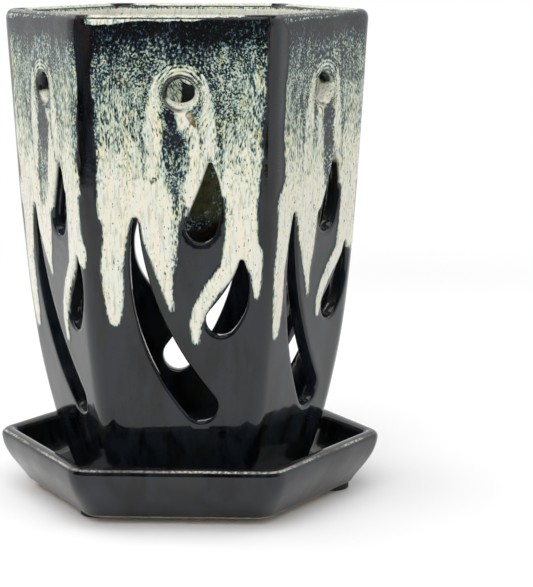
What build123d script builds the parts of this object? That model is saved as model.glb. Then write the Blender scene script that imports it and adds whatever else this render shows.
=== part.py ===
from build123d import *
import math
import os

# Six-sided orchid pot with air slots, standing loose in its own six-sided saucer.
# Millimetres, +Z up. The origin is on the table under the middle of the pot.
# One flat side of the pot faces -Y, and two of its corners point along +X and -X.
# A "corner radius" reaches from the middle to a corner as if that corner were sharp.

# The pot
sides = 6
pot_rim_r = 73.8
pot_h = 186.0
pot_wall_t = 6.0
pot_corner_round_r = 11.0
pot_inner_round_r = 5.0
pot_side_taper = 10.8
pot_tuck = 14.2
pot_tuck_power = 4.6
pot_floor_t = 7.0
pot_floor_round_r = 4.0
pot_foot_round_r = 1.2
pot_foot_ring_w = 8.0
pot_foot_ring_h = 2.0
drain_hole_r = 8.0
drain_scallop_w = 10.0
drain_scallop_h = 1.6
drain_scallop_angles = (30, 150, 270)

# The openings in each side: where they lie as shares of the rim's corner radius, across, and of
# the pot's height, up, and how wide they are
round_hole_r = 5.0
round_hole_share = (0.0305, 0.845)
opening_lip_round_r = 1.2
slot_tip_r = 1.0
long_slot_tip_share = (-0.208, 0.589)
long_slot_bulb_share = (0.112, 0.196)
long_slot_bend_share = -0.096
long_slot_bulb_r = 6.5
upper_drop_tip_share = (0.177, 0.702)
upper_drop_bulb_share = (0.125, 0.574)
upper_drop_bend_share = 0.020
upper_drop_bulb_r = 6.0
lower_drop_tip_share = (0.334, 0.503)
lower_drop_bulb_share = (0.224, 0.380)
lower_drop_bend_share = 0.032
lower_drop_bulb_r = 5.9

# The saucer
saucer_ledge = 19.0
saucer_flare = 10.9
saucer_h = 21.4
saucer_wall_t = 6.5
saucer_floor_t = 6.0
saucer_corner_round_r = 9.0
saucer_inner_round_r = 4.0
saucer_floor_round_r = 3.0
saucer_foot_round_r = 1.0
saucer_flare_ease = 1.35
saucer_flare_turn = 2.6

# The pads under the saucer. They are stuck on by hand, so each has an angle round the saucer and a
# distance in from the foot's corner radius of its own.
pad_d = 13.0
pad_t = 3.0
pad_edge_round_r = 0.8
pad_angles = {"front_left": 232, "right": 0, "back_left": 118}
pad_insets = {"front_left": 7.3, "right": 2.5, "back_left": 4.0}

# Ways of working that all the pieces share
lip_round_share = 0.4
height_shares = (0.0, 0.05, 0.13, 0.25, 0.42, 0.65, 1.0)
slot_steps = 8
cut_overrun = 2.0
same_place = 0.01

# Sizes that follow from the ones above
flat_share = math.cos(math.pi / sides)
pot_foot_r = pot_rim_r - pot_side_taper - pot_tuck
saucer_foot_r = pot_foot_r + saucer_ledge
saucer_base_z = pad_t
pot_base_z = saucer_base_z + saucer_floor_t


def pot_corner_r(share):
    """Corner radius of the pot's outside at a share of its height: a straight taper below the
    rim, and a tuck that draws the foot in."""
    below = 1 - share
    return pot_rim_r - pot_side_taper * below - pot_tuck * below**pot_tuck_power


def saucer_corner_r(share):
    """Corner radius of the saucer's outside at a share of its height: it leaves the foot
    gently, flares, and stands upright at the rim."""
    return saucer_foot_r + saucer_flare * (1 - (1 - share**saucer_flare_ease) ** saucer_flare_turn)


def rounded_hexagon(corner_r, round_r, z):
    """Flat six-sided face with rounded corners, at height z."""
    outline = fillet(RegularPolygon(corner_r, sides).vertices(), round_r)
    return Pos(0, 0, z) * outline


def flared_solid(corner_r_at, base_z, height, inset, round_r, low_share):
    """Solid that follows a corner-radius rule from a share of the height up to the rim,
    drawn in everywhere by inset."""
    sections = []
    for step in height_shares:
        share = low_share + (1 - low_share) * step
        corner_r = corner_r_at(share) - inset / flat_share
        sections.append(rounded_hexagon(corner_r, round_r, base_z + height * share))
    return loft(sections)


def hollow(corner_r_at, base_z, height, wall_t, floor_t, round_r, floor_round_r):
    """The space inside a flared shell, with a rounded edge at its floor and run on past the rim."""
    space = flared_solid(corner_r_at, base_z, height, wall_t, round_r, floor_t / height)
    floor_edges = space.faces().sort_by(Axis.Z)[0].edges()
    space = fillet(floor_edges, floor_round_r)
    mouth = space.faces().sort_by(Axis.Z)[-1]
    return space + extrude(mouth, cut_overrun)


def rounded_rim(shell, wall_t):
    """Round the rim's outer and inner edge, almost to a full half circle."""
    rim = shell.faces().sort_by(Axis.Z)[-1]
    return fillet(rim.edges(), wall_t * lip_round_share)


def face_point(share):
    """Point on one side, across and up, from its shares of the pot's width and height."""
    return Vector(share[0] * pot_rim_r, pot_base_z + share[1] * pot_h)


def slot_face(tip_share, bulb_share, bend_share, bulb_r):
    """Outline of a slot on one side. A circle travels from the tip to the bulb along a line bent
    by a share of the rim's radius, swelling on the way from the tip's radius to the bulb's, and
    the outline is the edge of all that it covers."""
    tip = face_point(tip_share)
    bulb = face_point(bulb_share)
    square_to_line = (bulb - tip).normalized().rotate(Axis.Z, 90)
    middle = (tip + bulb) / 2 + square_to_line * (2 * bend_share * pot_rim_r)
    right_side = []
    left_side = []
    headings = []
    for step in range(slot_steps + 1):
        t = step / slot_steps
        centre = tip * (1 - t) ** 2 + middle * (2 * t * (1 - t)) + bulb * t**2
        travel = (middle - tip) * (2 * (1 - t)) + (bulb - middle) * (2 * t)
        swell = math.sin(t * math.pi / 2)
        radius = slot_tip_r + (bulb_r - slot_tip_r) * swell
        lean = (bulb_r - slot_tip_r) * math.pi / 2 * math.cos(t * math.pi / 2) / travel.length
        along = travel.normalized()
        across = along.rotate(Axis.Z, 90)
        upright = math.sqrt(1 - lean**2)
        left_side.append(centre + (across * upright - along * lean) * radius)
        right_side.append(centre - (across * upright + along * lean) * radius)
        headings.append((along * upright + across * lean, along * upright - across * lean))
    left_edge = Spline(*left_side, tangents=(headings[0][0], headings[-1][0]))
    right_edge = Spline(*right_side, tangents=(headings[0][1], headings[-1][1]))
    tip_along = (middle - tip).normalized()
    tip_arc = ThreePointArc(right_side[0], tip - tip_along * slot_tip_r, left_side[0])
    bulb_along = (bulb - middle).normalized()
    bulb_arc = ThreePointArc(left_side[-1], bulb + bulb_along * bulb_r, right_side[-1])
    return make_face(Curve() + [left_edge, bulb_arc, right_edge, tip_arc])


def side_openings():
    """The cutters for the openings of one side, the one that faces -Y: a round hole, two drops
    and a long curved slot."""
    hole_centre = face_point(round_hole_share)
    outlines = [
        Pos(hole_centre.X, hole_centre.Y) * Circle(round_hole_r),
        slot_face(upper_drop_tip_share, upper_drop_bulb_share, upper_drop_bend_share, upper_drop_bulb_r),
        slot_face(lower_drop_tip_share, lower_drop_bulb_share, lower_drop_bend_share, lower_drop_bulb_r),
        slot_face(long_slot_tip_share, long_slot_bulb_share, long_slot_bend_share, long_slot_bulb_r),
    ]
    side = Plane(origin=(0, 0, 0), x_dir=(1, 0, 0), z_dir=(0, -1, 0))
    return [extrude(side * outline, pot_rim_r + cut_overrun) for outline in outlines]


def rounded_lips(shell, cutters):
    """Round the outer and inner edge of every opening, as thick glaze does. The straight edges
    that run through the wall stay as they are."""
    lips = []
    for edge in shell.edges():
        if edge.geom_type == GeomType.LINE:
            continue
        halfway = edge @ 0.5
        if min(cutter.distance_to(halfway) for cutter in cutters) < same_place:
            lips.append(edge)
    return fillet(lips, opening_lip_round_r)


def drain_scallop():
    """Cutter for a shallow hollow across the foot ring, which lets the water out from under the
    pot. It is a cylinder that lies along X, as wide as the hollow where it meets the foot."""
    round_r = (drain_scallop_w**2 / 4 + drain_scallop_h**2) / (2 * drain_scallop_h)
    lying = Rot(0, 90, 0) * Cylinder(round_r, pot_foot_r, align=(Align.CENTER, Align.CENTER, Align.MIN))
    return Pos(0, 0, pot_base_z + drain_scallop_h - round_r) * lying


def make_pot():
    """One casting: flared six-sided walls, a floor on a foot ring, and the openings."""
    outside = flared_solid(pot_corner_r, pot_base_z, pot_h, 0, pot_corner_round_r, 0)
    foot_edges = outside.faces().sort_by(Axis.Z)[0].edges()
    outside = fillet(foot_edges, pot_foot_round_r)
    pot = outside - hollow(
        pot_corner_r, pot_base_z, pot_h, pot_wall_t, pot_floor_t, pot_inner_round_r, pot_floor_round_r
    )
    pot = rounded_rim(pot, pot_wall_t)
    recess_r = pot_foot_r - pot_foot_ring_w / flat_share
    recess = rounded_hexagon(recess_r, pot_inner_round_r, pot_base_z - cut_overrun)
    pot -= extrude(recess, pot_foot_ring_h + cut_overrun)
    pot -= Pos(0, 0, pot_base_z) * Cylinder(drain_hole_r, 2 * (pot_floor_t + cut_overrun))
    pot -= [Rot(0, 0, angle) * drain_scallop() for angle in drain_scallop_angles]
    cutters = []
    for turn in range(sides):
        around = [Rot(0, 0, turn * 360 / sides) * cutter for cutter in side_openings()]
        pot -= around
        cutters += around
    return rounded_lips(pot, cutters)


def make_saucer():
    """One casting: a shallow six-sided dish with a flared wall, which the pot stands in."""
    outside = flared_solid(saucer_corner_r, saucer_base_z, saucer_h, 0, saucer_corner_round_r, 0)
    foot_edges = outside.faces().sort_by(Axis.Z)[0].edges()
    outside = fillet(foot_edges, saucer_foot_round_r)
    saucer = outside - hollow(
        saucer_corner_r,
        saucer_base_z,
        saucer_h,
        saucer_wall_t,
        saucer_floor_t,
        saucer_inner_round_r,
        saucer_floor_round_r,
    )
    return rounded_rim(saucer, saucer_wall_t)


def make_pad(angle, inset):
    """Rubber disc stuck under the saucer, a little way in from one of its corners."""
    ring_r = saucer_foot_r - inset - pad_d / 2
    disc = Cylinder(pad_d / 2, pad_t, align=(Align.CENTER, Align.CENTER, Align.MIN))
    disc = fillet(disc.faces().sort_by(Axis.Z)[0].edges(), pad_edge_round_r)
    return Rot(0, 0, angle) * Pos(ring_r, 0, 0) * disc


def main():
    pieces = {"pot": make_pot(), "saucer": make_saucer()}
    for place, angle in pad_angles.items():
        pieces["foot_pad_" + place] = make_pad(angle, pad_insets[place])
    os.makedirs("parts", exist_ok=True)
    for name, solid in pieces.items():
        export_step(solid, "parts/" + name + ".step")
        print(name, "volume", round(solid.volume), "valid", solid.is_valid)


main()
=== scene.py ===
# %% [markdown]
# # An orchid pot with slots, and its saucer
#
# The real thing is stoneware: a six-sided pot, cast in one piece, with curved air slots cut
# through every side, that stands loose in a shallow six-sided saucer on three rubber pads.
# Both are dipped in a glossy black glaze. A thick cream glaze is laid over the top of the pot
# and runs down in drips when it melts.
#
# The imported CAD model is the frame: it says where every piece is and how it moves. This lesson
# builds the surfaces and the finishes around it. Lengths inside the functions are millimetres,
# as a potter would measure, and become metres when a mesh is made.

# %% Load the frame
import math

import bpy
import numpy as np
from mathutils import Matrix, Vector
from mathutils.geometry import delaunay_2d_cdt


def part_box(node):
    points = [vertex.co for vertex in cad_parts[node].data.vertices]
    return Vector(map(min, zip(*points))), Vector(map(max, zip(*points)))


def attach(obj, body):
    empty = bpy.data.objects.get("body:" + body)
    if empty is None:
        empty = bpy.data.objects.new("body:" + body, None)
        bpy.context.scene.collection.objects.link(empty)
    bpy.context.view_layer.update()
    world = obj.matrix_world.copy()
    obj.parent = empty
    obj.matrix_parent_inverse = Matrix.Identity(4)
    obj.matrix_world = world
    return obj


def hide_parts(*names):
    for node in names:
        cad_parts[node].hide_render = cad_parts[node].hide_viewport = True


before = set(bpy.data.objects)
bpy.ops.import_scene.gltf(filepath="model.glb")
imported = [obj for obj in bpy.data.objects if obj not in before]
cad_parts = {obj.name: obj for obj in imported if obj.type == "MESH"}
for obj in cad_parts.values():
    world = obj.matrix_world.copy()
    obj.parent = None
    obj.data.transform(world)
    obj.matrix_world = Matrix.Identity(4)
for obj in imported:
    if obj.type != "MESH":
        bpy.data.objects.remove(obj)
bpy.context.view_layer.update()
MM = 0.001
print("nodes in the frame:", sorted(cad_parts))

# %% [markdown]
# ## Sizes
#
# The heights are read from the frame, so the looks follow the construction if it changes. The
# few shape values that a box can't tell are written here as in the construction: how the
# corner radius of the pot and of the saucer grows with height, how far the corners are rounded,
# and where the openings lie as shares of the rim's radius and of the pot's height. Only the rims
# and the round holes' lips are drawn rounder, and those holes a little wider, as glaze makes them.

# %% Sizes of the pot and the saucer
SIDES = 6
HALF_TURN = math.pi / SIDES
pot_low, pot_high = (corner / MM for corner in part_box("pot"))
saucer_low, saucer_high = (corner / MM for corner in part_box("saucer"))
POT = dict(base=pot_low.z, height=pot_high.z - pot_low.z, rim_r=73.8, taper=10.8, tuck=14.2,
           tuck_power=4.6, round_r=11.0, wall=6.0, floor=7.0, floor_round=4.0, lip=(3.0, 4.0),
           foot_round=1.2, ring_w=8.0, ring_h=2.0, drain_r=8.0, drain_lip=0.8, scallop_w=10.0,
           scallop_h=1.6)
SAUCER = dict(base=saucer_low.z, height=saucer_high.z - saucer_low.z, foot_r=67.8, flare=10.9,
              ease=1.35, turn=2.6, round_r=9.0, wall=6.5, floor=6.0, floor_round=3.0,
              lip=(3.1, 2.8), foot_round=1.0)
LIP_R = 1.2
SLOT_TIP_R = 1.0
HOLE = dict(centre=(0.0305, 0.845), radius=5.2)
HOLE_LIP = (2.2, 3.0)
SLOTS = {
    "long_slot": dict(tip=(-0.208, 0.589), bulb=(0.112, 0.196), bend=-0.096, bulb_r=6.5),
    "upper_drop": dict(tip=(0.177, 0.702), bulb=(0.125, 0.574), bend=0.020, bulb_r=6.0),
    "lower_drop": dict(tip=(0.334, 0.503), bulb=(0.224, 0.380), bend=0.032, bulb_r=5.9),
}
print("pot", round(POT["height"], 1), "mm high, saucer", round(SAUCER["height"], 1), "mm high")


# %% How the corner radius grows with height
def pot_corner(z):
    """Corner radius of the pot's outside at height z: the rim's radius, less a straight taper,
    less a tuck that grows with a power of the depth below the rim and draws the foot in."""
    below = 1 - (z - POT["base"]) / POT["height"]
    return POT["rim_r"] - POT["taper"] * below - POT["tuck"] * np.maximum(below, 0) ** POT["tuck_power"]


def saucer_corner(z):
    """Corner radius of the saucer's outside at height z: it leaves the foot gently, flares, and
    stands upright at the rim."""
    share = np.clip((z - SAUCER["base"]) / SAUCER["height"], 0, 1)
    return SAUCER["foot_r"] + SAUCER["flare"] * (1 - (1 - share ** SAUCER["ease"]) ** SAUCER["turn"])


# %% [markdown]
# ## The camera
#
# The camera stands where the photographer stood: a little to the right of the pot's front and a
# little above its rim, looking down by ten degrees with a long lens. The numbers come from
# solving the rim, the saucer and the slots.

# %% Camera
PHOTO_H = 587
FOCAL_PX = 2059.0
CAMERA_AWAY = 0.823
CAMERA_UP = 0.2257
CAMERA_AROUND = math.radians(4.44)
CAMERA_HEADING = math.radians(2.24)
CAMERA_DOWN = math.radians(10.02)


def add_object(name, data):
    """Object with that data, linked into the scene."""
    thing = bpy.data.objects.new(name, data)
    bpy.context.collection.objects.link(thing)
    return thing


def make_camera():
    """Camera at its place round the pot, turned along its heading and tipped down."""
    data = bpy.data.cameras.new("photo_camera")
    data.lens = data.sensor_width * FOCAL_PX / PHOTO_H
    camera = add_object("photo_camera", data)
    beside, before = math.sin(CAMERA_AROUND), math.cos(CAMERA_AROUND)
    camera.location = (CAMERA_AWAY * beside, -CAMERA_AWAY * before, CAMERA_UP)
    level = math.cos(CAMERA_DOWN)
    beside, before = math.sin(CAMERA_HEADING), math.cos(CAMERA_HEADING)
    look = Vector((-beside * level, before * level, -math.sin(CAMERA_DOWN)))
    camera.rotation_euler = look.to_track_quat("-Z", "Y").to_euler()
    bpy.context.scene.camera = camera
    print("camera lens", round(data.lens, 1), "mm")


make_camera()

# %% [markdown]
# ## Meshes from arrays
#
# Every shape here is worked out as whole numpy arrays: points, faces, and values that the
# finishes read, such as how far a point lies inside a drip. One helper joins patches that share
# an edge by merging points at the same place, and one puts the arrays into a Blender mesh.


# %% Joining patches and making a mesh
def joined(patches):
    """One set of arrays from several patches. A patch is a dict of per-point arrays, with its
    faces, four corners each, under "faces". Point numbers are moved on by the points before."""
    starts = np.cumsum([0] + [len(patch["place"]) for patch in patches[:-1]])
    whole = {key: np.concatenate([patch[key] for patch in patches])
             for key in patches[0] if key != "faces"}
    whole["faces"] = np.concatenate([patch["faces"] + start for patch, start in zip(patches, starts)])
    return whole


def welded(patch, steps_per_mm=997.13):
    """The patch with points at one place merged: places are rounded to about a thousandth of a
    millimetre, and points that round alike become one."""
    key = np.round(patch["place"] * steps_per_mm).astype(np.int64)
    _, first, which = np.unique(key, axis=0, return_index=True, return_inverse=True)
    merged = {name: values[first] for name, values in patch.items() if name != "faces"}
    merged["faces"] = which.reshape(-1)[patch["faces"]]
    return merged


def make_piece(name, patch):
    """Blender object from a patch, in metres, with its other arrays as point attributes. A face
    with a corner that comes twice in a row becomes a triangle."""
    faces = patch["faces"]
    keep = faces != np.roll(faces, 1, axis=1)
    keep_face = keep.sum(axis=1) >= 3
    faces, keep = faces[keep_face], keep[keep_face]
    counts = keep.sum(axis=1)
    mesh = bpy.data.meshes.new(name)
    mesh.vertices.add(len(patch["place"]))
    mesh.vertices.foreach_set("co", (patch["place"] * MM).astype(np.float32).ravel())
    mesh.loops.add(int(counts.sum()))
    mesh.loops.foreach_set("vertex_index", faces[keep].astype(np.int32))
    mesh.polygons.add(len(faces))
    mesh.polygons.foreach_set("loop_start", (np.cumsum(counts) - counts).astype(np.int32))
    mesh.polygons.foreach_set("use_smooth", np.ones(len(faces), bool))
    for key, values in patch.items():
        if key in ("place", "faces", "push", "spot"):
            continue
        kind, part = ("FLOAT", "value") if values.ndim == 1 else ("FLOAT_VECTOR", "vector")
        attribute = mesh.attributes.new(key, kind, "POINT")
        attribute.data.foreach_set(part, values.astype(np.float32).ravel())
    mesh.update(calc_edges=True)
    mesh.validate()
    piece = add_object(name, mesh)
    triangles = int((counts - 2).sum())
    print(name, "has", len(mesh.vertices), "points and", triangles, "triangles")
    return piece


def grid_faces(rows, columns, closed=False):
    """Faces of a grid of points numbered row by row, with the last column joined to the first
    where it is closed."""
    across = columns if closed else columns - 1
    row, column = np.meshgrid(np.arange(rows - 1), np.arange(across), indexing="ij")
    after = (column + 1) % columns
    corners = [row * columns + column, row * columns + after,
               (row + 1) * columns + after, (row + 1) * columns + column]
    return np.stack(corners, axis=-1).reshape(-1, 4)


def smoothstep(value, low, high):
    """0 below low, 1 above high, and an S curve with level ends between them."""
    share = np.clip((value - low) / (high - low), 0, 1)
    return share * share * (3 - 2 * share)


def fading(value, low, high):
    """1 below low, 0 above high, and the same S curve between them."""
    return 1 - smoothstep(value, low, high)


def window(value, rise, fall):
    """1 between two spans and 0 outside them: it rises over the first and falls over the second."""
    return smoothstep(value, *rise) * fading(value, *fall)


def towards(value, target, share):
    """The value moved a share of the way to its target."""
    return value + (target - value) * share


# %% [markdown]
# ## The six-sided wall
#
# The wall is one surface with two parameters on each side: the way along the outline from the
# middle of the side to its corners, and the height. A third number, the depth into the clay,
# gives the inside of the wall and everything between. On the flat part the outline is straight,
# and past it the corner is an arc whose radius shrinks with the depth.


# %% Points of a six-sided wall
def outline_point(way, z, depth, corner, round_r):
    """Point on the front side and the direction out of the wall there. The way is measured on the
    outside: over the flat it is the distance across, and beyond the flat it turns round the
    corner's arc. The depth shortens the arc's radius, and on the flat moves straight in."""
    middle = corner(z) * math.cos(HALF_TURN) - round_r
    flat = middle * math.tan(HALF_TURN)
    turn = np.clip((np.abs(way) - flat) / round_r, 0, HALF_TURN) * np.sign(way)
    reach = round_r - depth
    x = np.clip(way, -flat, flat) + reach * np.sin(turn)
    y = -(middle + reach * np.cos(turn))
    out = np.stack([np.sin(turn), -np.cos(turn), np.zeros_like(turn)], axis=-1)
    return np.stack(np.broadcast_arrays(x, y, z), axis=-1), out


def way_columns(z, corner, round_r, across, round_steps):
    """Ways along one side at height z, from corner to corner: even steps over the flat and even
    turns round the corners. One row for each height."""
    flat = (corner(z) * math.cos(HALF_TURN) - round_r) * math.tan(HALF_TURN)
    arc = round_r * HALF_TURN * np.arange(1, round_steps + 1) / round_steps
    over_flat = flat[:, None] * np.linspace(-1, 1, across + 1)
    return np.concatenate([-(flat[:, None] + arc[::-1]), over_flat, flat[:, None] + arc], axis=1)


def turned(patch, side):
    """The front side's patch turned to another side, by a sixth of a circle for each step. Its
    spot keeps where each point lies on its own side, and which side that is."""
    angle = side * 2 * HALF_TURN
    cosine, sine = math.cos(angle), math.sin(angle)
    spin = np.array([[cosine, -sine, 0], [sine, cosine, 0], [0, 0, 1]])
    copy = dict(patch)
    copy["place"] = patch["place"] @ spin.T
    copy["push"] = patch["push"] @ spin.T
    copy["spot"] = patch["spot"].copy()
    copy["spot"][:, 3] = side
    return copy


def wall_patch(way, z, depth, faces, corner, round_r):
    """Patch on the front side from ways, heights and depths. Its spot is way, height, depth and
    side, its push is the direction out of the wall, and bare says where no cream can lie."""
    way, z, depth = (np.asarray(a, float).ravel() for a in np.broadcast_arrays(way, z, depth))
    place, push = outline_point(way, z, depth, corner, round_r)
    spot = np.stack([way, z, depth, np.zeros_like(way)], axis=-1)
    return dict(place=place, push=push, spot=spot, bare=np.zeros_like(way), faces=faces)


# %% [markdown]
# ## The openings
#
# A potter cuts these slots with a shaped knife while the clay is leather hard: a pointed start, a
# belly, and a curve like a leaf. The outline is the edge of all that a circle covers as it
# travels from the tip to the belly along a bent line, swelling on the way. Each lip is a quarter
# round on the outside and the inside, because thick glaze leaves no sharp edge.


# %% Outlines of the openings
OUTLINE_STEP = 1.3
OUTLINE_TURN = 0.42


def spread_evenly(points, longest, turn_each):
    """The same closed outline with new points: steps are as long as allowed on gentle stretches
    and shorter where it bends, so that no step turns more than a set angle."""
    steps = np.roll(points, -1, axis=0) - points
    length = np.hypot(*steps.T)
    heading = np.unwrap(np.arctan2(steps[:, 1], steps[:, 0]))
    turn = np.abs(np.diff(heading, append=heading[0] + 2 * math.pi))
    weight = length / longest + (turn + np.roll(turn, 1)) / 2 / turn_each
    along = np.concatenate([[0], np.cumsum(weight)])
    count = int(math.ceil(along[-1]))
    wanted = np.linspace(0, along[-1], count, endpoint=False)
    ring = np.vstack([points, points[:1]])
    return np.stack([np.interp(wanted, along, column) for column in ring.T], axis=-1)


def side_point(share):
    """Point on a side, across and up in millimetres, from its shares of the rim's radius and of
    the pot's height."""
    return np.array([share[0] * POT["rim_r"], POT["base"] + share[1] * POT["height"]])


def slot_outline(tip, bulb, bend, bulb_r, dense=160):
    """Closed outline of a slot, counter-clockwise. Centres run along a quadratic curve from tip to
    bulb, and the radius grows with the sine of the way. Each side point is the centre moved by
    the radius, square to the travel and leaned back by how fast the radius grows."""
    tip, bulb = side_point(tip), side_point(bulb)
    square = np.array([-(bulb - tip)[1], (bulb - tip)[0]]) / np.hypot(*(bulb - tip))
    middle = (tip + bulb) / 2 + square * 2 * bend * POT["rim_r"]
    t = np.linspace(0, 1, dense)[:, None]
    centre = tip * (1 - t) ** 2 + middle * 2 * t * (1 - t) + bulb * t**2
    travel = (middle - tip) * 2 * (1 - t) + (bulb - middle) * 2 * t
    speed = np.hypot(*travel.T)[:, None]
    along = travel / speed
    across = np.stack([-along[:, 1], along[:, 0]], axis=-1)
    radius = SLOT_TIP_R + (bulb_r - SLOT_TIP_R) * np.sin(t * math.pi / 2)
    lean = (bulb_r - SLOT_TIP_R) * math.pi / 2 * np.cos(t * math.pi / 2) / speed
    upright = np.sqrt(1 - lean**2)
    left = centre + radius * (across * upright - along * lean)
    right = centre - radius * (across * upright + along * lean)
    sweep = np.linspace(0, math.pi, dense // 2)[1:-1, None]
    round_bulb = bulb + bulb_r * (across[-1] * np.cos(sweep) + along[-1] * np.sin(sweep))
    start = math.asin(lean[0, 0])
    sweep = np.linspace(math.pi / 2 + start, 1.5 * math.pi - start, dense // 4)[1:-1, None]
    round_tip = tip + SLOT_TIP_R * (along[0] * np.cos(sweep) - across[0] * np.sin(sweep))
    return np.vstack([left, round_bulb, right[::-1], round_tip])[::-1]


def hole_outline(centre, radius, dense=120):
    """Closed outline of the round hole, counter-clockwise."""
    angle = np.linspace(0, 2 * math.pi, dense, endpoint=False)[:, None]
    return side_point(centre) + radius * np.hstack([np.cos(angle), np.sin(angle)])


def outward_of(outline):
    """Unit normals of a closed counter-clockwise outline, pointing into the clay round it."""
    along = np.roll(outline, -1, axis=0) - np.roll(outline, 1, axis=0)
    along /= np.hypot(*along.T)[:, None]
    return np.stack([along[:, 1], -along[:, 0]], axis=-1)


openings = {name: slot_outline(**slot) for name, slot in SLOTS.items()}
openings["hole"] = hole_outline(**HOLE)
for name, outline in openings.items():
    openings[name] = outline = spread_evenly(outline, OUTLINE_STEP, OUTLINE_TURN)
    after = np.roll(outline, -1, axis=0)
    area = np.sum(outline[:, 0] * after[:, 1] - after[:, 0] * outline[:, 1]) / 2
    print(name, len(outline), "points,", round(area), "square mm")


# %% [markdown]
# ## Skins with holes, and the lips that join them
#
# A grid can't go round a leaf-shaped hole, so the outer and the inner skin of a side are filled
# by a Delaunay triangulation between the grid's points and the openings' outlines. The wall of
# each opening is a grid again: the outline, carried along a profile of quarter round, straight
# wall and quarter round. Between two depths in that wall it is bare of cream.


# %% Skin of one side, and the walls of its openings
SAME_SPOT = 1e-6
BARE_DEPTHS = ((0.3, 1.0), (5.0, 5.5))
TIP_BLOB = (4.5, 2.5)
POOL_TILT, POOL_EDGE = 0.35, (-0.25, 0.15)
POOL_DEPTHS = ((0.8, 2.4), (4.2, 5.7))
POOL_RISE = 1.5
# Painted shade: depths and side fade of a thin bare line on the left of the round hole's outer lip.
LIP_SHADE_DEPTHS, LIP_SHADE_FADES = ((0.05, 0.2), (0.5, 0.9)), (-0.1, 0.5)


def distance_to(outline, spots):
    """Distance from each spot to the nearest point of a closed outline's segments."""
    start = outline[None]
    step = np.roll(outline, -1, axis=0)[None] - start
    share = np.clip(np.sum((spots[:, None] - start) * step, -1) / np.sum(step * step, -1), 0, 1)
    return np.sqrt(np.min(np.sum((spots[:, None] - start - share[..., None] * step) ** 2, -1), 1))


def is_inside(outline, spots):
    """Whether each spot lies inside a closed outline: a line going right from it crosses the
    outline an odd number of times."""
    x, z = spots[:, :1], spots[:, 1:]
    x1, z1 = outline.T
    x2, z2 = np.roll(outline, -1, axis=0).T
    crosses = (z1 > z) != (z2 > z)
    at = x1 + (z - z1) / np.where(z2 == z1, 1, z2 - z1) * (x2 - x1)
    return (np.sum(crosses & (x < at), axis=1) % 2).astype(bool)


def skin_patch(ways, heights, rings, depth, clear, skip=1, field=None):
    """Patch of one side's skin at a depth: the grid of ways by heights, less the rings. Grid
    points nearer to a ring than clear are left out, and triangles fill what remains. Only each
    skip-th column is used inside, and a field of closer points takes the grid's place in its box."""
    grid = np.stack([ways, np.broadcast_to(heights[:, None], ways.shape)], axis=-1)
    edge = np.concatenate([grid[0, :-1], grid[:-1, -1], grid[-1, :0:-1], grid[:0:-1, 0]])
    inner = grid[1:-1, 1:-1:skip].reshape(-1, 2)
    if field is not None:
        away = np.maximum(field.min(0) - inner, inner - field.max(0)).max(axis=1)
        inner = np.concatenate([inner[away > clear], field])
    keep = np.ones(len(inner), bool)
    for ring in rings:
        middle, half = (ring.max(0) + ring.min(0)) / 2, (ring.max(0) - ring.min(0)) / 2
        near = (np.abs(inner - middle) < half + clear).all(axis=1)
        keep[near] &= ~is_inside(ring, inner[near]) & (distance_to(ring, inner[near]) > clear)
    spots = np.concatenate([edge, *rings, inner[keep]])
    links, start = [], 0
    for loop in (edge, *rings):
        number = np.arange(len(loop))
        links.append(np.stack([number, (number + 1) % len(loop)], axis=-1) + start)
        start += len(loop)
    links = np.concatenate(links)
    made = delaunay_2d_cdt([Vector(s) for s in spots], links.tolist(), [], 1, SAME_SPOT)
    spots = spots[[numbers[0] for numbers in made[3]]]
    triangles = np.array([f for f in made[2] if len(f) == 3])
    middles = spots[triangles].mean(axis=1)
    keep = np.ones(len(triangles), bool)
    for ring in rings:
        keep &= ~is_inside(ring, middles)
    triangles = triangles[keep]
    if depth > 0:
        triangles = triangles[:, ::-1]
    faces = np.concatenate([triangles, triangles[:, -1:]], axis=1)
    return wall_patch(spots[:, 0], spots[:, 1], depth, faces, pot_corner, POT["round_r"])


def quarter_ellipse(wide, deep, steps):
    """Width still to go and depth reached along a quarter of an ellipse, with even turns."""
    turn = np.linspace(0, math.pi / 2, steps + 1)
    return wide * (1 - np.sin(turn)), deep * (1 - np.cos(turn))


def lip_profile(edge, wall, quarter):
    """Offset and depth along the wall of an opening: a quarter of an ellipse from the outer skin,
    a straight run through the wall, and a quarter round to the inner skin."""
    outer_offset, outer_depth = quarter_ellipse(*edge, quarter)
    inner_offset, inner_depth = quarter_ellipse(LIP_R, LIP_R, quarter)
    through = np.linspace(edge[1], wall - LIP_R, 3)[1:-1]
    offset = np.concatenate([outer_offset, np.zeros(len(through)), inner_offset[::-1]])
    return offset, np.concatenate([outer_depth, through, wall - inner_depth[::-1]])


def opening_patch(outline, edge=(LIP_R, LIP_R), quarter=3):
    """Wall of one opening: its outline moved out by the profile's offset and in by its depth. The
    cream stops on the outer rounding, and starts again on the inner one."""
    offset, depth = lip_profile(edge, POT["wall"], quarter)
    rings = outline[None] + offset[:, None, None] * outward_of(outline)[None]
    faces = grid_faces(len(offset), len(outline), closed=True)
    patch = wall_patch(rings[..., 0], rings[..., 1], depth[:, None], faces, pot_corner, POT["round_r"])
    depth = patch["spot"][:, 2]
    patch["bare"] = window(depth, *BARE_DEPTHS)
    return patch


def drop_patch(outline):
    """Wall of the upper drop, with cream caught in its tip."""
    patch = opening_patch(outline)
    blob_from, blob_to = outline[:, 1].max() - np.array(TIP_BLOB)
    patch["bare"] *= fading(patch["spot"][:, 1], blob_from, blob_to)
    return patch


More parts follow.
